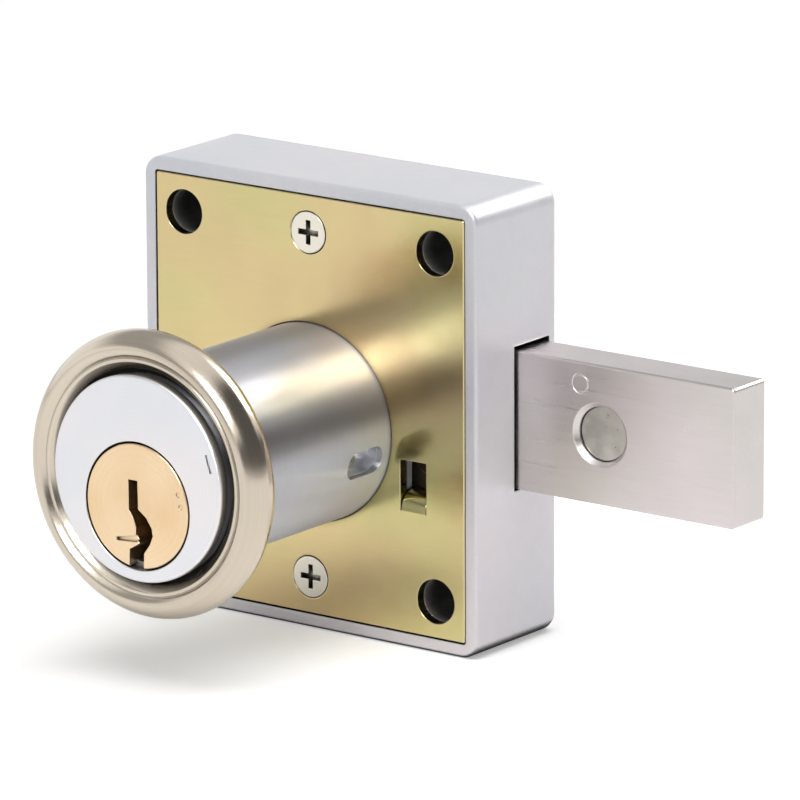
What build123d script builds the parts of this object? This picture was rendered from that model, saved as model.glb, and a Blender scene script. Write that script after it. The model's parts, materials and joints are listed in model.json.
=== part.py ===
from build123d import *
import os
from math import cos, pi, radians, sin, sqrt

# A furniture lock that is screwed behind a cabinet door. A flat case holds a sliding bolt, a cover
# plate closes the case, and a pin cylinder in a round barrel reaches through the door.
#
# Lengths are in millimetres. The mounting face, which lies against the door, is the plane Y = 0.
# The case lies behind it, towards +Y, and the key face looks towards -Y. The bolt shoots towards +X,
# and +Z is up. The origin is the middle of the four fixing holes, on the mounting face.

# Case. Its width and height follow from the drive inside it, through the two gaps named here.
case_wall = 1.8
arm_end_gap = 3.8
tail_boss_gap = 3.5
case_rim = 1.5
case_corner_round = 2.2
case_back_round = 1.2
case_front_round = 0.4
cavity_corner_round = 1.5
pocket_corner_round = 0.4

# Cover plate, let into the front of the case
plate_gap = 0.15
plate_thickness = 1.2
plate_corner_round = 0.3
plate_edge_round = 0.12
plate_bore_clearance = 0.12

# Fixing holes through plate and case, set in from the sides of the case
fixing_inset_x = 5.5
fixing_inset_z = 5.75
fixing_hole_radius = 2.5
fixing_boss_wall = 1.3
fixing_sink_radius = 4.2
fixing_sink_angle = 90.0

# Two countersunk screws that hold the cover plate, set in from the top and bottom of the case
plate_screw_inset = 5.75
plate_screw_shank_radius = 1.25
plate_screw_head_radius = 2.3
plate_screw_head_gap = 0.15
plate_screw_length = 8.0
plate_screw_boss_wall = 1.6
plate_screw_angle = 90.0
cross_length = 2.7
cross_width = 0.62
cross_depth = 0.9

# Barrel and the pin cylinder inside it
barrel_drop = 1.8
barrel_radius = 11.0
barrel_wall = 0.7
barrel_front_round = 0.25
barrel_flange_width = 2.5
barrel_flange_thickness = 1.2
barrel_flange_gap = 0.2
key_face_reach = 30.0
core_clearance = 0.05
head_overhang = 0.25
head_thickness = 1.2
head_round = 0.3
index_mark_length = 2.0
index_mark_width = 0.28
index_mark_depth = 0.15
index_mark_place_share = 0.9
index_mark_angle = 18.0

# Access slot in the barrel and the grub screw that holds the cylinder
access_setback = 4.3
access_angle = -11.0
access_slot_length = 6.2
access_slot_width = 3.1
access_pocket_depth = 1.3
grub_radius = 1.3
grub_length = 1.7
grub_socket_radius = 0.75
grub_socket_depth = 0.8

# Plug, bored below the middle of the core, with a thin wall of the core under it
plug_drop = 2.95
plug_wall = 0.9
plug_shoulder_width = 0.45
plug_shoulder_gap = 0.2
shoulder_bore_round = 0.15
plug_clearance = 0.05
plug_end_clearance = 0.05
plug_front_round = 0.2
tail_square = 5.0
plug_mark_radius = 0.28
plug_mark_depth = 0.12
plug_mark_place_share = 0.93
plug_mark_angles = [21.0, 8.0]

# Keyway, as shares of the plug's radius: x to the right, z up, from the plug's middle. A shallow
# ledge opens into its left side.
keyway_length = 25.4
keyway_shares = [
    (-0.185, 0.44), (0.01, 0.44), (0.02, -0.05), (0.19, -0.17), (0.305, -0.34), (0.325, -0.47),
    (0.26, -0.63), (0.14, -0.79), (0.12, -1.2), (-0.19, -1.2), (-0.17, -0.76), (0.05, -0.63),
    (-0.04, -0.54), (-0.03, -0.37), (-0.08, -0.22), (-0.18, -0.08),
]
ledge_depth = 0.35
ledge_shares = [(0.0, -0.5), (0.0, -0.62), (-0.44, -0.65), (-0.45, -0.59)]

# Pin stacks above the keyway. Each key pin's lift is how high the key holds its tip over the
# bottom of its chamber.
key_pin_lifts = [1.42, 0.82, 1.62, 0.52, 1.12]
pin_pitch = 4.0
first_pin_setback = 5.0
pin_radius = 1.4
chamber_clearance = 0.05
chamber_floor = 0.7
key_pin_top_gap = 0.02
key_pin_tip_radius = 0.35
key_pin_taper = 0.95
pin_chamfer = 0.25
driver_length = 2.7
driver_gap = 0.02
spring_turns = 4
spring_wire_radius = 0.11
spring_side_gap = 0.2
cap_thickness = 1.1
cap_gap = 0.15

# Drive arm, its pin and its screw on the tail of the plug
arm_gap = 0.2
arm_thickness = 1.6
arm_hub_overlap = 0.8
arm_half_width = 2.9
arm_root_round = 2.0
arm_stop_clearance = 0.15
tail_screw_setback = 0.05
crank_pin_radius = 1.25
crank_collar_radius = 2.0
crank_collar_height = 0.6
crank_pin_end_gap = 0.3
washer_radius = 4.2
washer_thickness = 0.5
washer_split = 0.5
drive_screw_radius = 1.5
drive_screw_head_radius = 2.75
drive_screw_head_height = 1.5
drive_screw_depth = 6.0
drive_screw_head_round = 0.4

# Stop tongues, lanced out of the cover plate beside the barrel and bent into the case
tongue_width = 3.2
tongue_slit = 0.15
tongue_bend_radius = 0.8
window_height = 3.7
window_bore_gap = 1.13

# Bolt. Its throw is twice the arm's radius.
bolt_rest_projection = 0.4
bolt_height = 15.4
bolt_thickness = 5.7
bolt_front_clearance = 1.0
bolt_back_clearance = 0.3
bolt_end_round = 0.45
bolt_edge_round = 0.25
bolt_stop_gap = 0.3
bolt_slot_top_gap = 0.5
bolt_slot_bottom_gap = 0.15
bolt_slot_front_gap = 0.4
yoke_clearance = 0.3
yoke_web = 1.15
yoke_steps = 18
insert_radius = 3.05
insert_chamfer = 0.12
insert_seat_chamfer = 0.5
insert_place = 11.0
insert_recess = 0.8
punch_mark_radius = 1.15
punch_mark_width = 0.22
punch_mark_depth = 0.06
punch_mark_inset = 2.35
punch_mark_place = 8.5
guide_gap = 0.2
guide_thickness = 1.6
guide_depth = 4.2

# Rosette, the trim ring that slides along the barrel up to the door
rosette_bore_gap = 0.7
rosette_width = 4.0
rosette_back_inset = 0.4
rosette_length = 3.3
rosette_lip_setback = 0.7
rosette_lip_width = 0.3
rosette_bevel_width = 0.85
rosette_bevel_depth = 0.75
rosette_step_width = 0.1
rosette_step_depth = 0.12
rosette_crown_inset = 1.95
rosette_crown_height = 0.45
rosette_crease_inset = 0.7
rosette_crease_depth = 0.3
rosette_shoulder_inset = 0.2
rosette_shoulder_depth = 1.1
rosette_edge_depth = 2.0
grip_radial_gap = 0.05
grip_back_setback = 1.5
grip_groove_depth = 0.7

# One overrun for every cut that leaves the solid
overrun = 1.0

# Sizes and places that follow from the sizes above: the cylinder first
barrel_z = -barrel_drop
plug_z = barrel_z - plug_drop
key_face_y = -key_face_reach
head_back_y = key_face_y + head_thickness
head_radius = barrel_radius + head_overhang
barrel_bore_radius = barrel_radius - barrel_wall
core_radius = barrel_bore_radius - core_clearance
plug_bore_radius = core_radius - plug_drop - plug_wall
plug_radius = plug_bore_radius - plug_clearance
plug_shoulder_radius = plug_radius + plug_shoulder_width
shoulder_bore_radius = plug_shoulder_radius + plug_shoulder_gap
shoulder_back_y = head_back_y - plug_end_clearance

# The arm reaches past the barrel to the windows in the plate, and its radius sets the bolt's throw
window_width = tongue_width + 2 * tongue_slit
crank_radius = barrel_radius + plate_bore_clearance + window_bore_gap + window_width / 2
bolt_throw = 2 * crank_radius
bolt_projection = bolt_throw + bolt_rest_projection
half_turn = 180.0
arm_hub_radius = plug_radius + arm_hub_overlap
flange_half_width = crank_radius - window_width / 2 - barrel_flange_gap
tail_top_z = plug_z + crank_radius + crank_pin_radius + yoke_clearance + yoke_web

# The case holds the arm's whole turn between its sides, and the bolt's tail below its upper bosses
fixing_boss_radius = fixing_hole_radius + fixing_boss_wall
plate_screw_boss_radius = plate_screw_shank_radius + plate_screw_boss_wall
cavity_half_width = crank_radius + arm_half_width + arm_end_gap
case_width = 2 * (cavity_half_width + case_wall)
fixing_spacing_x = case_width - 2 * fixing_inset_x
fixing_spacing_z = 2 * (tail_top_z + tail_boss_gap + fixing_boss_radius)
case_height = fixing_spacing_z + 2 * fixing_inset_z
cavity_half_height = case_height / 2 - case_wall
plate_screw_spacing = case_height - 2 * plate_screw_inset
plate_width = case_width - 2 * (case_rim + plate_gap)
plate_height = case_height - 2 * (case_rim + plate_gap)

# Depths, one piece behind the next
cylinder_back_y = plate_thickness + barrel_flange_thickness
arm_front_y = cylinder_back_y + arm_gap
arm_back_y = arm_front_y + arm_thickness
washer_back_y = arm_back_y + washer_thickness
drive_head_back_y = washer_back_y + drive_screw_head_height
bolt_front_y = drive_head_back_y + bolt_front_clearance
bolt_back_y = bolt_front_y + bolt_thickness
cavity_back_y = bolt_back_y + bolt_back_clearance
case_depth = cavity_back_y + case_wall

# Pin stacks
chamber_radius = pin_radius + chamber_clearance
pin_places = [key_face_y + first_pin_setback + pin_pitch * number for number in range(len(key_pin_lifts))]
key_pin_flat_radius = pin_radius - pin_chamfer
key_pin_top_z = plug_z + sqrt(plug_radius**2 - key_pin_flat_radius**2) - key_pin_top_gap
driver_bottom_z = plug_z + plug_bore_radius + driver_gap
driver_top_z = driver_bottom_z + driver_length
cap_top_z = barrel_z + core_radius - cap_gap
cap_bottom_z = cap_top_z - cap_thickness

# Stop tongues and bolt
tongue_top_z = plug_z - arm_half_width - arm_stop_clearance
tongue_outer_bend = tongue_bend_radius + plate_thickness
tongue_root_z = tongue_top_z - tongue_outer_bend
window_top_z = tongue_top_z + window_height
bolt_bottom_z = plug_z - crank_pin_radius - yoke_clearance - yoke_web
bolt_top_z = bolt_bottom_z + bolt_height
bolt_end_x = case_width / 2 + bolt_projection
tail_right_x = cavity_half_width - bolt_stop_gap
tail_left_x = bolt_throw - tail_right_x
insert_x = case_width / 2 + insert_place
bolt_middle_z = (bolt_bottom_z + bolt_top_z) / 2

# Rosette
rosette_bore_radius = barrel_radius + rosette_bore_gap
rosette_radius = rosette_bore_radius + rosette_width
rosette_back_radius = rosette_radius - rosette_back_inset
rosette_crown_radius = rosette_radius - rosette_crown_inset
rosette_crease_radius = rosette_radius - rosette_crease_inset
rosette_shoulder_radius = rosette_radius - rosette_shoulder_inset
rosette_lip_inner_radius = rosette_bore_radius + rosette_bevel_width
rosette_lip_outer_radius = rosette_lip_inner_radius + rosette_lip_width
rosette_step_radius = rosette_lip_outer_radius + rosette_step_width


def upright(depth):
    """Plane at a depth behind the mounting face that looks out of the door: local x is +X, y is +Z."""
    return Plane(origin=(0, depth, 0), x_dir=(1, 0, 0), z_dir=(0, -1, 0))


def upright_at(height, depth):
    """The same plane with its origin at a height, such as that of the barrel or the plug."""
    return Plane(origin=(0, depth, height), x_dir=(1, 0, 0), z_dir=(0, -1, 0))


def pin_in_bolt(turn):
    """Where the crank pin stands in the bolt, which moves in step with the plug's turn in degrees."""
    angle = radians(turn)
    bolt_travel = bolt_throw * turn / half_turn
    return (crank_radius * cos(angle) + bolt_travel, plug_z + crank_radius * sin(angle))


def cross_outline(plane):
    """Outline of the cross recess in a screw head that ends at a plane."""
    with BuildSketch(plane) as outline:
        Rectangle(cross_length, cross_width)
        Rectangle(cross_width, cross_length)
    return outline.sketch


# The access slot is cut square to the barrel's side, so its plane stands on the barrel's axis
access_direction = (cos(radians(access_angle)), 0, sin(radians(access_angle)))
access_plane = Plane(origin=(0, -access_setback, barrel_z), x_dir=(0, 1, 0), z_dir=access_direction)

# Looks towards +Y, out of the back of the case
case_back_plane = Plane(origin=(0, case_depth, 0), x_dir=(1, 0, 0), z_dir=(0, 1, 0))

# Case: a tray with a pocket for the plate, bosses for the screws and a slot for the bolt
with BuildPart(case_back_plane) as case_body:
    with BuildSketch(upright(case_depth)):
        RectangleRounded(case_width, case_height, case_corner_round)
    extrude(amount=case_depth)
    fillet(case_body.faces().sort_by(Axis.Y)[-1].edges(), case_back_round)
    fillet(case_body.faces().sort_by(Axis.Y)[0].edges(), case_front_round)
    with BuildSketch(upright(plate_thickness)):
        RectangleRounded(plate_width + 2 * plate_gap, plate_height + 2 * plate_gap, pocket_corner_round)
    extrude(amount=plate_thickness, mode=Mode.SUBTRACT)
    with BuildSketch(upright(cavity_back_y)) as cavity_outline:
        RectangleRounded(2 * cavity_half_width, 2 * cavity_half_height, cavity_corner_round)
        for side_x in (-1, 1):
            for side_z in (-1, 1):
                boss_x = side_x * fixing_spacing_x / 2
                boss_z = side_z * fixing_spacing_z / 2
                with Locations((boss_x, boss_z)):
                    Circle(fixing_boss_radius, mode=Mode.SUBTRACT)
                with Locations((boss_x + side_x * fixing_boss_radius / 2, boss_z)):
                    Rectangle(fixing_boss_radius, 2 * fixing_boss_radius, mode=Mode.SUBTRACT)
                with Locations((boss_x, boss_z + side_z * fixing_boss_radius / 2)):
                    Rectangle(2 * fixing_boss_radius, fixing_boss_radius, mode=Mode.SUBTRACT)
                with Locations((boss_x + side_x * fixing_boss_radius, boss_z + side_z * fixing_boss_radius)):
                    Rectangle(2 * fixing_boss_radius, 2 * fixing_boss_radius, mode=Mode.SUBTRACT)
        for side_z in (-1, 1):
            web_height = cavity_half_height - plate_screw_spacing / 2
            with Locations((0, side_z * plate_screw_spacing / 2)):
                Circle(plate_screw_boss_radius, mode=Mode.SUBTRACT)
            with Locations((0, side_z * (plate_screw_spacing + web_height) / 2)):
                Rectangle(2 * plate_screw_boss_radius, web_height, mode=Mode.SUBTRACT)
    extrude(amount=cavity_back_y - plate_thickness, mode=Mode.SUBTRACT)
    # Two rails stand on the floor of the case, one under the bolt and one over its tail
    with BuildSketch(upright(cavity_back_y)):
        with Locations((0, bolt_bottom_z - guide_gap - guide_thickness / 2)):
            Rectangle(2 * cavity_half_width, guide_thickness)
        with Locations((0, tail_top_z + guide_gap + guide_thickness / 2)):
            Rectangle(2 * cavity_half_width, guide_thickness)
    extrude(amount=guide_depth)
    # The bolt's slot in the right-hand wall
    slot_bottom_z = bolt_bottom_z - bolt_slot_bottom_gap
    slot_top_z = bolt_top_z + bolt_slot_top_gap
    slot_front_y = bolt_front_y - bolt_slot_front_gap
    with BuildSketch(Plane.YZ.offset(cavity_half_width - overrun)):
        with Locations(((slot_front_y + cavity_back_y) / 2, (slot_bottom_z + slot_top_z) / 2)):
            Rectangle(cavity_back_y - slot_front_y, slot_top_z - slot_bottom_z)
    extrude(amount=case_wall + 2 * overrun, mode=Mode.SUBTRACT)
    with GridLocations(fixing_spacing_x, fixing_spacing_z, 2, 2):
        CounterSinkHole(fixing_hole_radius, fixing_sink_radius, counter_sink_angle=fixing_sink_angle)
    with BuildSketch(upright(plate_thickness)):
        with Locations((0, plate_screw_spacing / 2), (0, -plate_screw_spacing / 2)):
            Circle(plate_screw_shank_radius)
    extrude(amount=-plate_screw_length, mode=Mode.SUBTRACT)
case_body.part.label = "case_body"

# Cover plate, with its two stop tongues
with BuildPart(upright(0)) as cover_plate:
    with BuildSketch(upright(plate_thickness)):
        RectangleRounded(plate_width, plate_height, plate_corner_round)
    extrude(amount=plate_thickness)
    chamfer(cover_plate.faces().sort_by(Axis.Y)[0].edges(), plate_edge_round)
    with BuildSketch(upright(plate_thickness)):
        with GridLocations(fixing_spacing_x, fixing_spacing_z, 2, 2):
            Circle(fixing_hole_radius)
        with Locations((0, barrel_z)):
            Circle(barrel_radius + plate_bore_clearance)
        for side_x in (-1, 1):
            with Locations((side_x * crank_radius, (tongue_root_z + window_top_z) / 2)):
                Rectangle(window_width, window_top_z - tongue_root_z)
    extrude(amount=plate_thickness, mode=Mode.SUBTRACT)
    bend_turn = 90
    bend_middle = (tongue_outer_bend, tongue_root_z)
    bend_length = pi / 2 * (tongue_bend_radius + plate_thickness / 2)
    tongue_straight = window_top_z - tongue_root_z - bend_length
    tongue_end_y = tongue_outer_bend + tongue_straight
    tongue_bottom_z = tongue_top_z - plate_thickness
    for side_x in (-1, 1):
        with BuildSketch(Plane.YZ.offset(side_x * crank_radius - tongue_width / 2)):
            with BuildLine():
                CenterArc(bend_middle, tongue_outer_bend, bend_turn, bend_turn)
                Line((tongue_outer_bend, tongue_top_z), (tongue_end_y, tongue_top_z))
                Line((tongue_end_y, tongue_top_z), (tongue_end_y, tongue_bottom_z))
                Line((tongue_end_y, tongue_bottom_z), (tongue_outer_bend, tongue_bottom_z))
                CenterArc(bend_middle, tongue_bend_radius, bend_turn, bend_turn)
                Line((plate_thickness, tongue_root_z), (0, tongue_root_z))
            make_face()
        extrude(amount=tongue_width)
    with Locations((0, plate_screw_spacing / 2), (0, -plate_screw_spacing / 2)):
        CounterSinkHole(
            plate_screw_shank_radius + plate_screw_head_gap,
            plate_screw_head_radius + plate_screw_head_gap,
            depth=plate_thickness,
            counter_sink_angle=plate_screw_angle,
        )
cover_plate.part.label = "cover_plate"

# The two screws of the cover plate
with BuildPart() as cover_plate_screws:
    head_taper = plate_screw_head_radius - plate_screw_shank_radius
    for side_z in (-1, 1):
        screw_z = side_z * plate_screw_spacing / 2
        with BuildSketch(Plane.XY.offset(screw_z)):
            with BuildLine():
                Polyline(
                    (0, 0),
                    (plate_screw_head_radius, 0),
                    (plate_screw_shank_radius, head_taper),
                    (plate_screw_shank_radius, plate_screw_length),
                    (0, plate_screw_length),
                    close=True,
                )
            make_face()
        revolve(axis=Axis((0, 0, screw_z), (0, 1, 0)))
        extrude(cross_outline(upright_at(screw_z, 0)), amount=-cross_depth, mode=Mode.SUBTRACT)
cover_plate_screws.part.label = "cover_plate_screws"

# Barrel: a thin tube with a flange behind the plate, which has flats against the stop tongues
barrel_flange_radius = barrel_radius + barrel_flange_width

with BuildPart() as barrel_sleeve:
    with BuildSketch(upright_at(barrel_z, cylinder_back_y)):
        Circle(barrel_flange_radius)
        Rectangle(2 * flange_half_width, 2 * barrel_flange_radius, mode=Mode.INTERSECT)
    extrude(amount=barrel_flange_thickness)
    with BuildSketch(upright_at(barrel_z, cylinder_back_y)):
        Circle(barrel_radius)
    extrude(amount=cylinder_back_y - head_back_y)
    with BuildSketch(upright_at(barrel_z, cylinder_back_y)):
        Circle(barrel_bore_radius)
    extrude(amount=cylinder_back_y - head_back_y, mode=Mode.SUBTRACT)
    front_edge = barrel_sleeve.faces().sort_by(Axis.Y)[0].edges().sort_by(SortBy.RADIUS)[-1]
    fillet(front_edge, barrel_front_round)
    with BuildSketch(access_plane):
        SlotOverall(access_slot_length, access_slot_width)
    extrude(amount=barrel_radius + overrun, mode=Mode.SUBTRACT)
barrel_sleeve.part.label = "barrel_sleeve"

# Cylinder core: bored below its middle for the plug, with five chambers above
with BuildPart() as cylinder_core:
    with BuildSketch(upright_at(barrel_z, cylinder_back_y)):
        Circle(core_radius)
    extrude(amount=cylinder_back_y - head_back_y)
    with BuildSketch(upright_at(barrel_z, head_back_y)):
        Circle(head_radius)
    extrude(amount=head_thickness)
    head_edge = cylinder_core.faces().sort_by(Axis.Y)[0].edges()
    fillet(head_edge, head_round)
    with BuildSketch(upright_at(plug_z, cylinder_back_y)):
        Circle(plug_bore_radius)
    extrude(amount=cylinder_back_y - key_face_y, mode=Mode.SUBTRACT)
    with BuildSketch(upright_at(plug_z, head_back_y)):
        Circle(shoulder_bore_radius)
    extrude(amount=head_thickness, mode=Mode.SUBTRACT)
    bore_edge = cylinder_core.faces().sort_by(Axis.Y)[0].inner_wires()[0].edges()
    fillet(bore_edge, shoulder_bore_round)
    with BuildSketch(Plane.XY.offset(plug_z)):
        with Locations(*[(0, pin_y) for pin_y in pin_places]):
            Circle(chamber_radius)
    extrude(amount=plug_drop + core_radius + overrun, mode=Mode.SUBTRACT)
    with BuildSketch(access_plane.offset(core_radius - access_pocket_depth)):
        SlotOverall(access_slot_length, access_slot_width)
    extrude(amount=access_pocket_depth + overrun, mode=Mode.SUBTRACT)
    with BuildSketch(access_plane.offset(core_radius - access_pocket_depth)):
        Circle(grub_radius)
    extrude(amount=-grub_length, mode=Mode.SUBTRACT)
    mark_turn = radians(index_mark_angle)
    mark_place = (head_radius * index_mark_place_share * cos(mark_turn),
                  head_radius * index_mark_place_share * sin(mark_turn))
    with BuildSketch(upright_at(barrel_z, key_face_y)):
        with Locations(mark_place):
            Rectangle(index_mark_width, index_mark_length, rotation=index_mark_angle)
    extrude(amount=-index_mark_depth, mode=Mode.SUBTRACT)
cylinder_core.part.label = "cylinder_core"

# Grub screw in the bottom of the access pocket
with BuildPart() as grub_screw:
    with BuildSketch(access_plane.offset(core_radius - access_pocket_depth)):
        Circle(grub_radius)
    extrude(amount=-grub_length)
    with BuildSketch(access_plane.offset(core_radius - access_pocket_depth)):
        RegularPolygon(grub_socket_radius, 6)
    extrude(amount=-grub_socket_depth, mode=Mode.SUBTRACT)
grub_screw.part.label = "grub_screw"

# Plug, with its shoulder, keyway, chambers and square tail
tail_end_y = arm_back_y - tail_screw_setback

with BuildPart() as plug:
    with BuildSketch(upright_at(plug_z, arm_front_y)):
        Circle(plug_radius)
    extrude(amount=arm_front_y - shoulder_back_y)
    with BuildSketch(upright_at(plug_z, shoulder_back_y)):
        Circle(plug_shoulder_radius)
    extrude(amount=shoulder_back_y - key_face_y)
    fillet(plug.faces().sort_by(Axis.Y)[0].edges(), plug_front_round)
    with BuildSketch(upright_at(plug_z, tail_end_y)):
        Rectangle(tail_square, tail_square)
    extrude(amount=tail_end_y - arm_front_y)
    with BuildSketch(upright_at(plug_z, key_face_y)):
        with BuildLine():
            Polyline(*[(x_share * plug_radius, z_share * plug_radius) for x_share, z_share in keyway_shares],
                     close=True)
        make_face()
    extrude(amount=-keyway_length, mode=Mode.SUBTRACT)
    with BuildSketch(upright_at(plug_z, key_face_y)):
        with BuildLine():
            Polyline(*[(x_share * plug_radius, z_share * plug_radius) for x_share, z_share in ledge_shares],
                     close=True)
        make_face()
    extrude(amount=-ledge_depth, mode=Mode.SUBTRACT)
    with BuildSketch(Plane.XY.offset(plug_z + chamber_floor)):
        with Locations(*[(0, pin_y) for pin_y in pin_places]):
            Circle(chamber_radius)
    extrude(amount=plug_radius, mode=Mode.SUBTRACT)
    with BuildSketch(upright_at(plug_z, tail_end_y)):
        Circle(drive_screw_radius)
    extrude(amount=drive_screw_depth, mode=Mode.SUBTRACT)
    plug_mark_reach = plug_radius * plug_mark_place_share
    with BuildSketch(upright_at(plug_z, key_face_y)):
        for mark_angle in plug_mark_angles:
            mark_turn = radians(mark_angle)
            with Locations((plug_mark_reach * cos(mark_turn), plug_mark_reach * sin(mark_turn))):
                Circle(plug_mark_radius)
    extrude(amount=-plug_mark_depth, mode=Mode.SUBTRACT)
plug.part.label = "plug"

# Drive arm, keyed on the square tail; it lies level at both ends of its half turn
with BuildPart() as drive_arm:
    with BuildSketch(upright_at(plug_z, arm_back_y)):
        Circle(arm_hub_radius)
        with Locations((crank_radius / 2, 0)):
            Rectangle(crank_radius, 2 * arm_half_width)
        with Locations((crank_radius, 0)):
            Circle(arm_half_width)
            Circle(crank_pin_radius, mode=Mode.SUBTRACT)
        Rectangle(tail_square, tail_square, mode=Mode.SUBTRACT)
    extrude(amount=arm_thickness)
    root_x = sqrt(arm_hub_radius**2 - arm_half_width**2)
    upright_edges = drive_arm.edges().filter_by(Axis.Y)
    root_edges = [
        upright_edges.sort_by_distance((root_x, arm_front_y, plug_z + side * arm_half_width))[0]
        for side in (-1, 1)
    ]
    fillet(root_edges, arm_root_round)
drive_arm.part.label = "drive_arm"

# Crank pin, riveted into the end of the arm, with a collar behind it
with BuildPart() as crank_pin:
    with BuildSketch(upright_at(plug_z, bolt_back_y - crank_pin_end_gap)):
        with Locations((crank_radius, 0)):
            Circle(crank_pin_radius)
    extrude(amount=bolt_back_y - crank_pin_end_gap - arm_front_y)
    with BuildSketch(upright_at(plug_z, arm_back_y + crank_collar_height)):
        with Locations((crank_radius, 0)):
            Circle(crank_collar_radius)
    extrude(amount=crank_collar_height)
crank_pin.part.label = "crank_pin"

# Split washer and screw that hold the arm on the tail
with BuildPart() as spring_washer:
    with BuildSketch(upright_at(plug_z, washer_back_y)):
        Circle(washer_radius)
        Circle(drive_screw_radius, mode=Mode.SUBTRACT)
        with Locations((0, -washer_radius / 2)):
            Rectangle(washer_split, washer_radius, mode=Mode.SUBTRACT)
    extrude(amount=washer_thickness)
spring_washer.part.label = "spring_washer"

with BuildPart() as drive_screw:
    with BuildSketch(upright_at(plug_z, drive_head_back_y)):
        Circle(drive_screw_head_radius)
    extrude(amount=drive_screw_head_height)
    fillet(drive_screw.faces().sort_by(Axis.Y)[-1].edges(), drive_screw_head_round)
    with BuildSketch(upright_at(plug_z, drive_head_back_y)):
        Circle(drive_screw_radius)
    extrude(amount=drive_head_back_y - tail_end_y + drive_screw_depth)
    drive_head_plane = Plane(origin=(0, drive_head_back_y, plug_z), x_dir=(1, 0, 0), z_dir=(0, 1, 0))
    extrude(cross_outline(drive_head_plane), amount=-cross_depth, mode=Mode.SUBTRACT)
drive_screw.part.label = "drive_screw"

# The opening of the bolt's tail clears the crank pin all along its half turn. It is snug round the
# pin at the bottom, where the arm lies level and holds the bolt.
with BuildSketch() as yoke_opening:
    with Locations(*[pin_in_bolt(half_turn * step / yoke_steps) for step in range(yoke_steps + 1)]):
        Circle(crank_pin_radius + yoke_clearance)
    make_hull()

# Bolt: a flat bar with a taller tail that stays inside the case
with BuildPart() as bolt:
    with BuildSketch(upright(bolt_back_y)):
        with Locations(((tail_left_x + bolt_end_x) / 2, bolt_middle_z)):
            Rectangle(bolt_end_x - tail_left_x, bolt_height)
    extrude(amount=bolt_thickness)
    end_face = bolt.faces().sort_by(Axis.X)[-1]
    fillet(end_face.edges().filter_by(Axis.Y), bolt_end_round)
    outer_edges = bolt.faces().sort_by(Axis.X)[-1].edges().filter_by(Axis.Z)
    fillet(outer_edges, bolt_edge_round)
    with BuildSketch(upright(bolt_back_y)):
        with Locations(((tail_left_x + tail_right_x) / 2, (bolt_bottom_z + tail_top_z) / 2)):
            Rectangle(tail_right_x - tail_left_x, tail_top_z - bolt_bottom_z)
    extrude(amount=bolt_thickness)
    with BuildSketch(upright(bolt_back_y)):
        add(yoke_opening.sketch)
        with Locations((insert_x, bolt_middle_z)):
            Circle(insert_radius)
    extrude(amount=bolt_thickness, mode=Mode.SUBTRACT)
    seat_edges = bolt.faces().sort_by(Axis.Y)[0].edges().filter_by(GeomType.CIRCLE)
    seat_edge = seat_edges.sort_by_distance((insert_x, bolt_front_y, bolt_middle_z))[0]
    chamfer(seat_edge, insert_seat_chamfer)
    with BuildSketch(upright(bolt_front_y)):
        with Locations((case_width / 2 + punch_mark_place, bolt_top_z - punch_mark_inset)):
            Circle(punch_mark_radius)
            Circle(punch_mark_radius - punch_mark_width, mode=Mode.SUBTRACT)
    extrude(amount=-punch_mark_depth, mode=Mode.SUBTRACT)
bolt.part.label = "bolt"

# Hard insert pressed through the bolt, with its face below the bolt's
with BuildPart() as bolt_insert:
    with BuildSketch(upright(bolt_back_y)):
        with Locations((insert_x, bolt_middle_z)):
            Circle(insert_radius)
    extrude(amount=bolt_thickness - insert_recess)
    chamfer(bolt_insert.faces().sort_by(Axis.Y)[0].edges(), insert_chamfer)
bolt_insert.part.label = "bolt_insert"

# Rosette: its section is drawn as radius and depth, then turned round the barrel's axis. From the
# bore outwards it has a bevel, a narrow lip, a small step, a low crown, a crease and a steep shoulder.
lip_y = key_face_y + rosette_lip_setback
rosette_back_y = lip_y + rosette_length
grip_section_radius = (rosette_bore_radius + grip_groove_depth - barrel_radius - grip_radial_gap) / 2
grip_middle_radius = barrel_radius + grip_radial_gap + grip_section_radius
grip_middle_y = rosette_back_y - grip_back_setback
barrel_axis = Axis((0, 0, barrel_z), (0, 1, 0))

with BuildPart() as rosette:
    with BuildSketch(Plane.XY.offset(barrel_z)):
        with BuildLine():
            Polyline(
                (rosette_back_radius, rosette_back_y),
                (rosette_bore_radius, rosette_back_y),
                (rosette_bore_radius, lip_y + rosette_bevel_depth),
                (rosette_lip_inner_radius, lip_y),
                (rosette_lip_outer_radius, lip_y),
                (rosette_step_radius, lip_y + rosette_step_depth),
            )
            Spline(
                (rosette_step_radius, lip_y + rosette_step_depth),
                (rosette_crown_radius, lip_y - rosette_crown_height),
                (rosette_crease_radius, lip_y + rosette_crease_depth),
            )
            Spline(
                (rosette_crease_radius, lip_y + rosette_crease_depth),
                (rosette_shoulder_radius, lip_y + rosette_shoulder_depth),
                (rosette_radius, lip_y + rosette_edge_depth),
                (rosette_back_radius, rosette_back_y),
            )
        make_face()
    revolve(axis=barrel_axis)
    with BuildSketch(Plane.XY.offset(barrel_z)):
        with Locations(((rosette_bore_radius + grip_groove_depth) / 2, grip_middle_y)):
            Rectangle(rosette_bore_radius + grip_groove_depth, 2 * grip_section_radius)
    revolve(axis=barrel_axis, mode=Mode.SUBTRACT)
rosette.part.label = "rosette"

# Rubber ring in the rosette's groove, which grips the barrel
with BuildPart() as grip_ring:
    with BuildSketch(Plane.XY.offset(barrel_z)):
        with Locations((grip_middle_radius, grip_middle_y)):
            Circle(grip_section_radius)
    revolve(axis=barrel_axis)
grip_ring.part.label = "grip_ring"

# Caps that close the chambers
with BuildPart() as chamber_caps:
    with BuildSketch(Plane.XY.offset(cap_bottom_z)):
        with Locations(*[(0, pin_y) for pin_y in pin_places]):
            Circle(chamber_radius)
    extrude(amount=cap_thickness)
chamber_caps.part.label = "chamber_caps"

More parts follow.
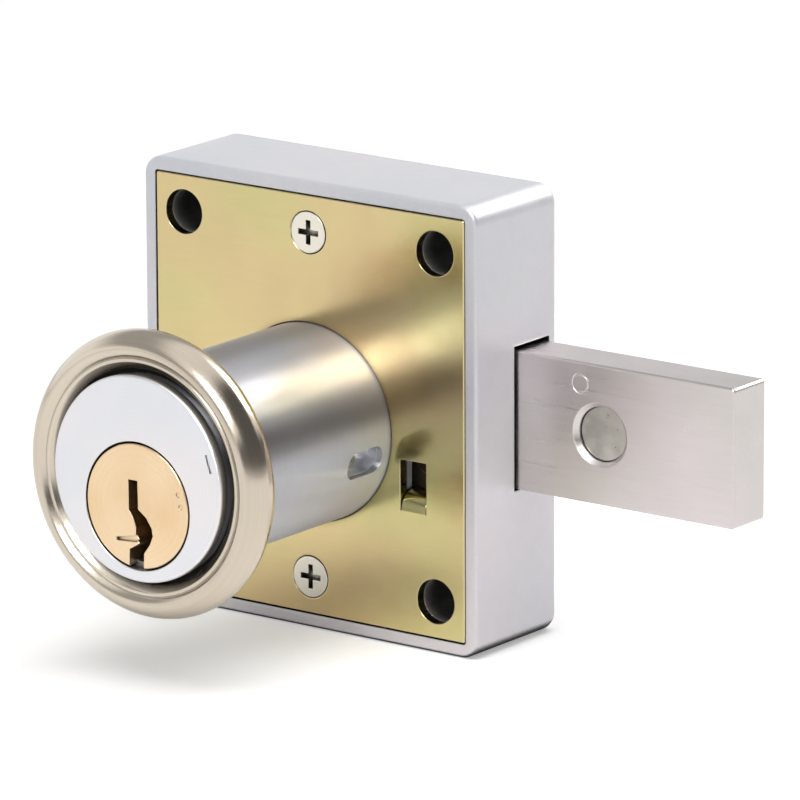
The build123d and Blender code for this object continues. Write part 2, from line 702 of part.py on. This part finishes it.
os.makedirs("parts", exist_ok=True)
export_step(case_body.part, "parts/case_body.step")
export_step(cover_plate.part, "parts/cover_plate.step")
export_step(cover_plate_screws.part, "parts/cover_plate_screws.step")
export_step(barrel_sleeve.part, "parts/barrel_sleeve.step")
export_step(cylinder_core.part, "parts/cylinder_core.step")
export_step(grub_screw.part, "parts/grub_screw.step")
export_step(plug.part, "parts/plug.step")
export_step(drive_arm.part, "parts/drive_arm.step")
export_step(crank_pin.part, "parts/crank_pin.step")
export_step(spring_washer.part, "parts/spring_washer.step")
export_step(drive_screw.part, "parts/drive_screw.step")
export_step(bolt.part, "parts/bolt.step")
export_step(bolt_insert.part, "parts/bolt_insert.step")
export_step(rosette.part, "parts/rosette.step")
export_step(grip_ring.part, "parts/grip_ring.step")
export_step(chamber_caps.part, "parts/chamber_caps.step")

# One stack to a chamber: key pin in the plug, driver pin and spring in the core. The stacks are drawn
# with the right key in: the pins part just at the plug's edge, and the plug is free to turn.
spring_radius = chamber_radius - spring_side_gap - spring_wire_radius
spring_bottom_z = driver_top_z + spring_wire_radius
spring_height = cap_bottom_z - driver_top_z - 2 * spring_wire_radius
spring_pitch = spring_height / spring_turns
print(f"least gap between spring turns {spring_pitch - 2 * spring_wire_radius:.2f} mm")

for number, pin_y in enumerate(pin_places, start=1):
    pin_axis = Axis((0, pin_y, 0), (0, 0, 1))
    tip_z = plug_z + chamber_floor + key_pin_lifts[number - 1]
    with BuildPart() as key_pin:
        with BuildSketch(upright(pin_y)):
            with BuildLine():
                Polyline(
                    (0, tip_z),
                    (key_pin_tip_radius, tip_z),
                    (pin_radius, tip_z + key_pin_taper),
                    (pin_radius, key_pin_top_z - pin_chamfer),
                    (key_pin_flat_radius, key_pin_top_z),
                    (0, key_pin_top_z),
                    close=True,
                )
            make_face()
        revolve(axis=pin_axis)
    key_pin.part.label = f"key_pin_{number}"
    export_step(key_pin.part, f"parts/key_pin_{number}.step")

    with BuildPart() as driver_pin:
        with BuildSketch(Plane.XY.offset(driver_bottom_z)):
            with Locations((0, pin_y)):
                Circle(pin_radius)
        extrude(amount=driver_length)
        chamfer(driver_pin.edges().filter_by(GeomType.CIRCLE), pin_chamfer)
    driver_pin.part.label = f"driver_pin_{number}"
    export_step(driver_pin.part, f"parts/driver_pin_{number}.step")

    with BuildPart() as pin_spring:
        with BuildLine() as coil:
            Helix(spring_pitch, spring_height, spring_radius, center=(0, pin_y, spring_bottom_z))
        with BuildSketch(Plane(origin=coil.line @ 0, z_dir=coil.line % 0)):
            Circle(spring_wire_radius)
        sweep(path=coil.line, is_frenet=True)
    pin_spring.part.label = f"pin_spring_{number}"
    export_step(pin_spring.part, f"parts/pin_spring_{number}.step")
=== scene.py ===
"""Looks of a furniture lock: metal finishes, a white studio and the camera round the fixed frame.

Lengths are in metres and angles in degrees. Colours are written as they look on a screen, in 0 to 255.
The lock stands on its case, with the key face towards -Y and the bolt towards +X.
"""

import json
import math

import bpy
from mathutils import Matrix, Vector


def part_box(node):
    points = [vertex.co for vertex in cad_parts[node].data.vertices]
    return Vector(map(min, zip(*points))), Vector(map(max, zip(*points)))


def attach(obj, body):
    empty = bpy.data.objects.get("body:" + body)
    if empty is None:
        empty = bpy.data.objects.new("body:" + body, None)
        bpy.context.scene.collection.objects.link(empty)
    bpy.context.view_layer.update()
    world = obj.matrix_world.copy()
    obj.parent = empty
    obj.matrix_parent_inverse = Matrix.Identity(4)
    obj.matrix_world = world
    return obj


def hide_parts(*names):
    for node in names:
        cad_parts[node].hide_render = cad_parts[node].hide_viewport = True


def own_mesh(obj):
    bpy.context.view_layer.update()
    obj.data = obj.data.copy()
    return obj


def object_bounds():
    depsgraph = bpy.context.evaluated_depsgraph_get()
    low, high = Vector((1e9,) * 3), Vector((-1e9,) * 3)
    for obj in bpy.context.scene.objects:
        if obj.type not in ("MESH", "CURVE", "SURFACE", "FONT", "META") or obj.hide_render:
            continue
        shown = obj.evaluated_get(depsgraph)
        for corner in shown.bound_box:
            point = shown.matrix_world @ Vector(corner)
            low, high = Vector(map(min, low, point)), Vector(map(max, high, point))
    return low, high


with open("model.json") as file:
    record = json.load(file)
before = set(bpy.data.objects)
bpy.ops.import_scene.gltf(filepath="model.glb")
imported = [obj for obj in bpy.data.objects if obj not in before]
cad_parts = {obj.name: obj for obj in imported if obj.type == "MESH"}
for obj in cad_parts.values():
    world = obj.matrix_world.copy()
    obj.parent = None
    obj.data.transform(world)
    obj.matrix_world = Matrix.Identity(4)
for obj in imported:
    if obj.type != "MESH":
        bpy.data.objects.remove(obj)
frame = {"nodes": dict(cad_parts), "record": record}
cad_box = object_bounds()

MM = 0.001
QUARTER_TURN = 0.25
# Gaps are darkened by grime and painted shade, which fades out along Y over this length, down to this share
GRIME_AND_SHADE_FADE = 4 * MM
DEEP_GRIME_AND_SHADE_SHARE = 0.2
PIN_COUNT = 5

# Shares and counts that all the metal finishes have in common
BEVEL_SAMPLES = 6
OPENNESS_SAMPLES = 8
WORN_STRAIGHTNESS = 0.86
WEAR_SHARE = 0.7
MARK_SPAN = (0.2, 0.8)
MARK_SHADES = (0.93, 1.04)
TINT_SPAN = (0.35, 0.65)
SECOND_TINT_SPAN = (0.42, 0.68)
SECOND_TINT_OFFSET = (0.31, 0.17, 0.23)
SECOND_TINT_SCALE_SHARE = 0.7
SMEAR_SCALE = 170.0
SMEAR_SPAN = (0.4, 0.7)
SMEAR_ROUGHNESS = (-0.02, 0.05)
DIRT_ROUGHNESS = 0.3
RING_WAVER_SHARE = 0.25

# Camera
VIEW_AZIMUTH = 36.87
VIEW_ELEVATION = 14.41
VIEW_ROLL = -0.25
VIEW_DISTANCE = 0.9
VIEW_TARGET = Vector((0.00371, 0.01143, -0.00121))
LENS = 371.0

# Studio
WORLD_FILL = 0.25
FLOOR_RADIUS = 3.0
FLOOR_SIDES = 96
FLOOR_COLOUR = (244, 244, 244)
FLOOR_LIFT = 0.35
FLOOR_MIRRORED_LIFT = 0.18

# Parts of the studio that only metal mirrors: three dark strips, a bright one and a dim end. They run
# along Y, and stand at an angle that is counted from +X up and over to -X. Each has the angle of its
# middle, how far to each side it is full and where it ends, how far along Y it starts and ends, as
# shares of the whole way, and its brightness.
STUDIO_STRIPS = [
    (14, 8, 20, -0.2, 0.9, 0.15),
    (66, 10, 24, 0.6, 0.92, 9.8),
    (131, 12, 26, -0.2, 0.9, 0.45),
    (40, 22, 34, -0.2, 0.5, 0.12),
    (90, 50, 70, 0.95, 1.1, 0.55),
]
STRIP_FADE = 0.1

# The lamp, whose size is first along Y and then along X
LAMP_PLACE = (0.2, -0.1, 0.96)
LAMP_SIZE = (1.3, 0.62)
LAMP_WATTS = 9.0

# Axes of the turned pieces, read from the frame
barrel_low, barrel_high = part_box("barrel_sleeve")
plug_low, plug_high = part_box("plug")
insert_low, insert_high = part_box("bolt_insert")
BARREL_AXIS = (barrel_low + barrel_high) / 2
PLUG_AXIS = (plug_low + plug_high) / 2
INSERT_AXIS = (insert_low + insert_high) / 2


def linear(colour):
    """A colour of 0 to 255 as the linear RGBA that the shaders take."""
    channels = [value / 255 for value in colour]
    curve = [c / 12.92 if c <= 0.04045 else ((c + 0.055) / 1.055) ** 2.4 for c in channels]
    return (*curve, 1.0)


class Nodes:
    """A node tree with short calls that add a node and link its inputs."""

    def __init__(self, tree):
        self.tree = tree
        tree.nodes.clear()

    def add(self, kind, settings=None, **inputs):
        node = self.tree.nodes.new(kind)
        for name, value in (settings or {}).items():
            setattr(node, name, value)
        for name, value in inputs.items():
            self.feed(node.inputs[name.replace("_", " ")], value)
        return node

    def feed(self, socket, value):
        if isinstance(value, bpy.types.NodeSocket):
            self.tree.links.new(value, socket)
        else:
            socket.default_value = value

    def math(self, operation, *values):
        node = self.tree.nodes.new("ShaderNodeMath")
        node.operation = operation
        for socket, value in zip(node.inputs, values):
            self.feed(socket, value)
        return node.outputs[0]

    def vector(self, operation, *values, out=0):
        node = self.tree.nodes.new("ShaderNodeVectorMath")
        node.operation = operation
        for socket, value in zip(node.inputs, values):
            self.feed(socket, value)
        return node.outputs[out]

    def noise(self, place, scale, detail=3.0, roughness=0.5):
        """Noise from 0 to 1 at a place; scale counts the lumps in a metre."""
        node = self.add("ShaderNodeTexNoise", Vector=place, Scale=scale, Detail=detail, Roughness=roughness)
        return node.outputs["Fac"]

    def stretch(self, place, along, turn=(0.0, 0.0, 0.0)):
        """The place with each axis multiplied, so that noise on it is drawn out along the small ones."""
        return self.add("ShaderNodeMapping", Vector=place, Scale=along, Rotation=turn).outputs[0]

    def spread(self, value, low, high, to_low=0.0, to_high=1.0):
        """The value, from between low and high to between two others, clamped."""
        node = self.tree.nodes.new("ShaderNodeMapRange")
        for socket, given in zip(node.inputs, (value, low, high, to_low, to_high)):
            self.feed(socket, given)
        return node.outputs[0]

    def blend(self, share, first, second):
        """Two colours mixed, with this share of the second."""
        node = self.tree.nodes.new("ShaderNodeMix")
        node.data_type = "RGBA"
        self.feed(node.inputs[0], share)
        self.feed(node.inputs[6], first)
        self.feed(node.inputs[7], second)
        return node.outputs[2]


def from_axis(nodes, place, axis):
    """The place counted from an axis that runs along Y, and the distance from that axis."""
    moved = nodes.vector("SUBTRACT", place, tuple(axis))
    flat = nodes.vector("MULTIPLY", moved, (1.0, 0.0, 1.0))
    return moved, nodes.vector("LENGTH", flat, out=1)


def edge_wear(nodes, radius):
    """1 on edges and corners and 0 on flats, and the normal as a bevel of this radius turns it."""
    bevel = nodes.add("ShaderNodeBevel", {"samples": BEVEL_SAMPLES}, Radius=radius)
    normal = nodes.add("ShaderNodeNewGeometry").outputs["Normal"]
    straightness = nodes.vector("DOT_PRODUCT", bevel.outputs[0], normal, out=1)
    return nodes.spread(straightness, 1.0, WORN_STRAIGHTNESS), bevel.outputs[0]


def gap_grime_and_shade(nodes, reach, clean, full):
    """1 deep in gaps and 0 in the open, where clean and full are the open shares at its two ends: it marks
    where grime and painted shade go.
    """
    hidden = nodes.add("ShaderNodeAmbientOcclusion", {"samples": OPENNESS_SAMPLES}, Distance=reach)
    return nodes.spread(hidden.outputs["AO"], clean, full)


def metal(name, tints, grime_and_shade_colour, marks, rough, bump, wear_tint=None, tint_scale=60.0, metallic=1.0,
          wear_radius=0.15 * MM, grime_and_shade_reach=1.2 * MM, grime_and_shade_share=0.85, grime_and_shade_span=(0.75, 0.15),
          grime_and_shade_until=None, anisotropic=0.0):
    """A metal finish.

    tints are three colours that drift into each other over tint_scale lumps in a metre. marks is a
    function that gives the tool marks, from 0 to 1, at a place. rough is the least and most roughness
    over those marks, and bump their depth in metres. A dark colour is mixed into gaps and recesses, as
    grime and as painted shade, less so past a given depth along Y, and wear_tint brightens edges.
    anisotropic draws highlights out across the rings of a turned piece.
    """
    material = bpy.data.materials.new(name)
    material.use_nodes = True
    nodes = Nodes(material.node_tree)
    place = nodes.add("ShaderNodeTexCoord").outputs["Object"]
    lines = marks(nodes, place)
    cloud = nodes.noise(place, tint_scale, detail=2.0)
    moved = nodes.vector("ADD", place, SECOND_TINT_OFFSET)
    second_cloud = nodes.noise(moved, tint_scale * SECOND_TINT_SCALE_SHARE, detail=1.0)
    first_mix = nodes.blend(nodes.spread(cloud, *TINT_SPAN), linear(tints[0]), linear(tints[1]))
    colour = nodes.blend(nodes.spread(second_cloud, *SECOND_TINT_SPAN), first_mix, linear(tints[2]))
    shade = nodes.spread(lines, *MARK_SPAN, *MARK_SHADES)
    shaded = nodes.add("ShaderNodeVectorMath", {"operation": "SCALE"}, Vector=colour, Scale=shade)
    colour = shaded.outputs[0]
    worn, rounded = edge_wear(nodes, wear_radius)
    if wear_tint:
        colour = nodes.blend(nodes.math("MULTIPLY", worn, WEAR_SHARE), colour, linear(wear_tint))
    # Gaps and recesses take the dark colour: partly grime, partly painted shade where light would not reach
    grimed_and_shaded = nodes.math("MULTIPLY", gap_grime_and_shade(nodes, grime_and_shade_reach, *grime_and_shade_span), grime_and_shade_share)
    if grime_and_shade_until is not None:
        depth = nodes.vector("DOT_PRODUCT", place, (0.0, 1.0, 0.0), out=1)
        kept = nodes.spread(depth, grime_and_shade_until, grime_and_shade_until + GRIME_AND_SHADE_FADE, 1.0, DEEP_GRIME_AND_SHADE_SHARE)
        grimed_and_shaded = nodes.math("MULTIPLY", grimed_and_shaded, kept)
    colour = nodes.blend(grimed_and_shaded, colour, linear(grime_and_shade_colour))
    smear = nodes.noise(place, SMEAR_SCALE, detail=4.0)
    roughness = nodes.spread(lines, *MARK_SPAN, *rough)
    roughness = nodes.math("ADD", roughness, nodes.spread(smear, *SMEAR_SPAN, *SMEAR_ROUGHNESS))
    roughness = nodes.math("ADD", roughness, nodes.math("MULTIPLY", grimed_and_shaded, DIRT_ROUGHNESS))
    relief = nodes.add("ShaderNodeBump", Strength=1.0, Distance=bump, Height=lines, Normal=rounded)
    shader = nodes.add("ShaderNodeBsdfPrincipled", Metallic=metallic)
    nodes.feed(shader.inputs["Base Color"], colour)
    nodes.feed(shader.inputs["Roughness"], roughness)
    nodes.feed(shader.inputs["Normal"], relief.outputs[0])
    if anisotropic:
        shader.inputs["Anisotropic"].default_value = anisotropic
        shader.inputs["Anisotropic Rotation"].default_value = QUARTER_TURN
        turned = nodes.add("ShaderNodeTangent", {"direction_type": "RADIAL", "axis": "Y"})
        nodes.feed(shader.inputs["Tangent"], turned.outputs[0])
    output = nodes.add("ShaderNodeOutputMaterial")
    nodes.feed(output.inputs["Surface"], shader.outputs[0])
    return material


def cast_marks(nodes, place):
    """The fine tumbled grain of a casting, with some larger ripples."""
    grain = nodes.noise(place, 5200.0, detail=2.0)
    ripple = nodes.noise(place, 650.0, detail=2.0)
    return nodes.math("ADD", nodes.math("MULTIPLY", grain, 0.65), nodes.math("MULTIPLY", ripple, 0.35))


def brush_marks(along):
    """Straight brush marks, drawn out along the axes with a small factor."""
    def marks(nodes, place):
        fine = nodes.noise(nodes.stretch(place, along), 1.0, detail=4.0, roughness=0.65)
        wide = [share * 0.22 for share in along]
        broad = nodes.noise(nodes.stretch(place, wide), 1.0, detail=2.0)
        return nodes.math("ADD", nodes.math("MULTIPLY", fine, 0.7), nodes.math("MULTIPLY", broad, 0.3))
    return marks


def turned_marks(axis, pitch):
    """Rings round an axis along Y: on a face they follow the radius, on a side the depth."""
    def marks(nodes, place):
        moved, radius = from_axis(nodes, place, axis)
        depth = nodes.vector("DOT_PRODUCT", moved, (0.0, 1.0, 0.0), out=1)
        wander = nodes.math("MULTIPLY", nodes.noise(place, 900.0), RING_WAVER_SHARE * pitch)
        steps = nodes.add("ShaderNodeCombineXYZ", X=nodes.math("ADD", radius, wander), Y=depth)
        return nodes.noise(steps.outputs[0], 1.0 / pitch, detail=3.0, roughness=0.6)
    return marks


def mottled_marks(nodes, place):
    """The blotches of a ground and hardened end."""
    blotches = nodes.noise(place, 900.0, detail=4.0, roughness=0.6)
    grain = nodes.noise(place, 3600.0, detail=2.0)
    return nodes.math("ADD", nodes.math("MULTIPLY", blotches, 0.7), nodes.math("MULTIPLY", grain, 0.3))


def scratched(marks, slope, depth):
    """The same marks with a few long fine scratches, turned by a slope about Y."""
    def both(nodes, place):
        drawn_out = nodes.stretch(place, (90.0, 2600.0, 2600.0), (0.0, slope, 0.0))
        strokes = nodes.spread(nodes.noise(drawn_out, 1.0, detail=1.0), 0.64, 0.74)
        return nodes.math("SUBTRACT", marks(nodes, place), nodes.math("MULTIPLY", strokes, depth))
    return both


# In each finish the dark gap colour, with its reach, share and span, paints shade into gaps and recesses as
# well as grime; the case's near-black over a wide reach paints the shade inside the case
FINISHES = {
    "case": metal(
        "case_finish", tints=((231, 231, 235), (224, 226, 233), (236, 230, 234)), grime_and_shade_colour=(11, 13, 10),
        marks=cast_marks, rough=(0.34, 0.48), bump=0.006 * MM, wear_tint=(240, 240, 242), tint_scale=55.0,
        wear_radius=0.3 * MM, grime_and_shade_reach=6.0 * MM, grime_and_shade_share=0.985, grime_and_shade_span=(0.5, 0.32),
        metallic=0.45,
    ),
    "plate": metal(
        "plate_finish", tints=((226, 206, 152), (222, 196, 150), (214, 206, 146)), grime_and_shade_colour=(40, 30, 14),
        marks=scratched(brush_marks((900.0, 900.0, 9000.0)), 0.35, 0.12), rough=(0.15, 0.22),
        bump=0.0018 * MM, wear_tint=(245, 232, 190), tint_scale=75.0, grime_and_shade_reach=2.0 * MM, grime_and_shade_share=0.9,
        grime_and_shade_span=(0.7, 0.2),
    ),
    "screw": metal(
        "screw_finish", tints=((240, 236, 222), (232, 228, 214), (244, 238, 224)), grime_and_shade_colour=(40, 35, 28),
        marks=brush_marks((2600.0, 2600.0, 7000.0)), rough=(0.16, 0.3), bump=0.002 * MM,
        wear_tint=(252, 250, 242), grime_and_shade_reach=1.2 * MM, grime_and_shade_span=(0.8, 0.35),
    ),
    "barrel": metal(
        "barrel_finish", tints=((203, 204, 210), (197, 198, 205), (208, 206, 210)), grime_and_shade_colour=(36, 30, 24),
        marks=turned_marks(BARREL_AXIS, 0.16 * MM), rough=(0.38, 0.46), bump=0.001 * MM,
        wear_tint=(236, 232, 228), grime_and_shade_reach=1.6 * MM, grime_and_shade_share=0.5, anisotropic=0.95,
    ),
    "face": metal(
        "face_finish", tints=((239, 239, 242), (233, 236, 241), (243, 238, 239)), grime_and_shade_colour=(24, 22, 21),
        marks=turned_marks(BARREL_AXIS, 0.12 * MM), rough=(0.28, 0.4), bump=0.002 * MM,
        wear_tint=(246, 246, 248), tint_scale=110.0, grime_and_shade_reach=3.0 * MM, grime_and_shade_share=0.9,
        grime_and_shade_span=(0.62, 0.35), grime_and_shade_until=-14 * MM,
    ),
    "brass": metal(
        "brass_finish", tints=((246, 214, 170), (240, 206, 160), (250, 222, 184)), grime_and_shade_colour=(62, 46, 12),
        marks=turned_marks(PLUG_AXIS, 0.1 * MM), rough=(0.24, 0.36), bump=0.002 * MM,
        wear_tint=(255, 240, 206), tint_scale=160.0, grime_and_shade_reach=1.8 * MM, grime_and_shade_share=0.92,
        grime_and_shade_span=(0.65, 0.2),
    ),
    "steel": metal(
        "steel_finish", tints=((66, 58, 52), (58, 52, 48), (74, 66, 58)), grime_and_shade_colour=(18, 14, 12),
        marks=brush_marks((3800.0, 3800.0, 900.0)), rough=(0.28, 0.42), bump=0.003 * MM,
        wear_tint=(120, 112, 104), grime_and_shade_reach=3.0 * MM,
    ),
    "bolt": metal(
        "bolt_finish", tints=((222, 216, 212), (216, 212, 206), (226, 218, 218)), grime_and_shade_colour=(14, 12, 10),
        marks=scratched(brush_marks((260.0, 6500.0, 6500.0)), 0.05, 0.2), rough=(0.26, 0.38),
        bump=0.003 * MM, wear_tint=(242, 238, 234), tint_scale=70.0, grime_and_shade_reach=5.0 * MM,
        grime_and_shade_share=0.95, grime_and_shade_span=(0.42, 0.28),
    ),
    "insert": metal(
        "insert_finish", tints=((206, 203, 196), (190, 187, 182), (216, 212, 207)), grime_and_shade_colour=(38, 33, 28),
        marks=mottled_marks, rough=(0.24, 0.4), bump=0.012 * MM, wear_tint=(244, 240, 232),
        tint_scale=600.0, grime_and_shade_reach=1.5 * MM,
    ),
    "rosette": metal(
        "rosette_finish", tints=((216, 204, 187), (206, 194, 177), (222, 212, 196)), grime_and_shade_colour=(46, 36, 28),
        marks=turned_marks(BARREL_AXIS, 0.2 * MM), rough=(0.14, 0.2), bump=0.0008 * MM,
        wear_tint=(246, 238, 224),
    ),
    "rubber": metal(
        "rubber_finish", tints=((17, 15, 14), (20, 18, 17), (15, 14, 14)), grime_and_shade_colour=(8, 7, 7),
        marks=cast_marks, rough=(0.6, 0.78), bump=0.01 * MM, wear_tint=(34, 32, 31), metallic=0.0,
    ),
    "spring": metal(
        "spring_finish", tints=((200, 182, 150), (190, 172, 140), (206, 190, 160)), grime_and_shade_colour=(60, 46, 30),
        marks=brush_marks((5200.0, 5200.0, 5200.0)), rough=(0.24, 0.36), bump=0.002 * MM,
        wear_tint=(226, 212, 184),
    ),
}

slot_of_node = {part["node"]: part["material_slot"] for part in frame["record"]["subparts"]}
for node_name, node_object in frame["nodes"].items():
    node_object.data.materials.clear()
    node_object.data.materials.append(FINISHES[slot_of_node[node_name]])


def shortening_spring(number):
    """The coil over a driver pin, as a copy of the frame's spring attached to the lock's body, with the
    frame's own piece hidden.
    """
    node_name = f"pin_spring_{number}"
    coil = bpy.data.objects.new(f"coil_{number}", frame["nodes"][node_name].data.copy())
    bpy.context.scene.collection.objects.link(coil)
    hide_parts(node_name)
    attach(coil, "lock")
    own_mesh(coil)


for pin_number in range(1, PIN_COUNT + 1):
    shortening_spring(pin_number)


def make_world():
    """White where the camera sees it, a white room with its strips for metal, and a plain even fill."""
    world = bpy.data.worlds.new("studio_world")
    bpy.context.scene.world = world
    world.use_nodes = True
    nodes = Nodes(world.node_tree)
    outward = nodes.add("ShaderNodeTexCoord").outputs["Generated"]
    parts = nodes.add("ShaderNodeSeparateXYZ", Vector=outward)
    turn = nodes.math("ARCTAN2", parts.outputs["Z"], parts.outputs["X"])
    along = nodes.math("ABSOLUTE", parts.outputs["Y"])
    brightness = 1.0
    for middle, full, end, near, far, level in STUDIO_STRIPS:
        aside = nodes.math("ABSOLUTE", nodes.math("SUBTRACT", turn, math.radians(middle)))
        within = nodes.spread(aside, math.radians(end), math.radians(full))
        begun = nodes.spread(along, near - STRIP_FADE, near)
        unended = nodes.spread(along, far + STRIP_FADE, far)
        share = nodes.math("MULTIPLY", within, nodes.math("MULTIPLY", begun, unended))
        change = nodes.math("MULTIPLY", share, nodes.math("SUBTRACT", level, brightness))
        brightness = nodes.math("ADD", brightness, change)
    path = nodes.add("ShaderNodeLightPath")
    white = nodes.add("ShaderNodeBackground", Color=(1.0, 1.0, 1.0, 1.0), Strength=1.0)
    room = nodes.add("ShaderNodeBackground", Color=(1.0, 1.0, 1.0, 1.0), Strength=brightness)
    fill = nodes.add("ShaderNodeBackground", Color=(1.0, 1.0, 1.0, 1.0), Strength=WORLD_FILL)
    mirrored = nodes.add("ShaderNodeMixShader", Fac=path.outputs["Is Glossy Ray"])
    nodes.feed(mirrored.inputs[1], fill.outputs[0])
    nodes.feed(mirrored.inputs[2], room.outputs[0])
    straight = nodes.math("MAXIMUM", path.outputs["Is Camera Ray"], path.outputs["Is Transmission Ray"])
    seen = nodes.add("ShaderNodeMixShader", Fac=straight)
    nodes.feed(seen.inputs[1], mirrored.outputs[0])
    nodes.feed(seen.inputs[2], white.outputs[0])
    output = nodes.add("ShaderNodeOutputWorld")
    nodes.feed(output.inputs["Surface"], seen.outputs[0])


def make_floor():
    """A pale round floor under the case, which keeps the lock's soft shadow."""
    bpy.ops.mesh.primitive_circle_add(
        vertices=FLOOR_SIDES, radius=FLOOR_RADIUS, fill_type="NGON", location=(0, 0, cad_box[0].z)
    )
    floor = bpy.context.object
    floor.name = "floor"
    material = bpy.data.materials.new("floor_paper")
    material.use_nodes = True
    nodes = Nodes(material.node_tree)
    paper = nodes.add("ShaderNodeBsdfDiffuse", Color=linear(FLOOR_COLOUR))
    glow = nodes.add("ShaderNodeEmission", Color=(1.0, 1.0, 1.0, 1.0))
    path = nodes.add("ShaderNodeLightPath")
    straight = nodes.math("MAXIMUM", path.outputs["Is Camera Ray"], path.outputs["Is Transmission Ray"])
    seen_lift = nodes.math("MULTIPLY", straight, FLOOR_LIFT)
    mirrored_lift = nodes.math("MULTIPLY", path.outputs["Is Glossy Ray"], FLOOR_MIRRORED_LIFT)
    nodes.feed(glow.inputs["Strength"], nodes.math("ADD", seen_lift, mirrored_lift))
    both = nodes.add("ShaderNodeAddShader")
    nodes.feed(both.inputs[0], paper.outputs[0])
    nodes.feed(both.inputs[1], glow.outputs[0])
    output = nodes.add("ShaderNodeOutputMaterial")
    nodes.feed(output.inputs["Surface"], both.outputs[0])
    floor.data.materials.append(material)


def aimed(place, target):
    """Placement at a place, looking at a target."""
    towards = (Vector(target) - Vector(place)).to_track_quat("-Z", "Y")
    return Matrix.Translation(place) @ towards.to_matrix().to_4x4()


def softbox(name, place, size, watts):
    """A rectangular lamp that looks at the lock. Metal mirrors the strips of the studio, not the lamp."""
    light = bpy.data.lights.new(name, "AREA")
    light.shape = "RECTANGLE"
    light.size = size[0]
    light.size_y = size[1]
    light.energy = watts
    lamp = bpy.data.objects.new(name, light)
    lamp.matrix_world = aimed(place, (0.0, 0.0, 0.0))
    lamp.visible_glossy = False
    bpy.context.scene.collection.objects.link(lamp)


make_world()
make_floor()
softbox("top_softbox", LAMP_PLACE, LAMP_SIZE, LAMP_WATTS)

# Camera at the photograph's viewing angle
azimuth = math.radians(VIEW_AZIMUTH)
elevation = math.radians(VIEW_ELEVATION)
back = Vector((
    math.sin(azimuth) * math.cos(elevation),
    -math.cos(azimuth) * math.cos(elevation),
    math.sin(elevation),
))
camera_data = bpy.data.cameras.new("camera")
camera_data.lens = LENS
camera_data.clip_start = 0.01
camera = bpy.data.objects.new("camera", camera_data)
roll = Matrix.Rotation(math.radians(VIEW_ROLL), 4, "Z")
camera.matrix_world = aimed(VIEW_TARGET + VIEW_DISTANCE * back, VIEW_TARGET) @ roll
bpy.context.scene.collection.objects.link(camera)
bpy.context.scene.camera = camera

bpy.context.scene.view_settings.view_transform = "Standard"
